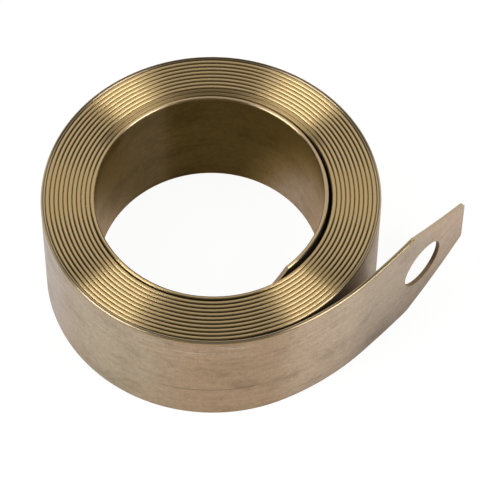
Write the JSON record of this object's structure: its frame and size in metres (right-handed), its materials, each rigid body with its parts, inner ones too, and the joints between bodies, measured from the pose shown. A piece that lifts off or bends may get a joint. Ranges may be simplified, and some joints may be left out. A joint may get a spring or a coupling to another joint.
{
  "type": "constant force spring",
  "caption": "Constant force spring: a flat steel strip wound on edge in close turns, with a free tail that ends in a taper with a round fixing hole.",
  "frame": {"origin": "on the axis of the drum that the inner turn closes on, at the height of the strip's lower edges", "axes": "+Z along the drum axis, up from the edges that the coil stands on; the free tail swings round the +X side"},
  "size_m": [0.0779, 0.0626, 0.025],
  "materials": {
    "spring_steel": "cold-rolled and heat-tinted to a light bronze, with fine lines along the strip"
  },
  "bodies": {
    "root": {"spring_strip": "spring_steel"}
  },
  "joints": []
}
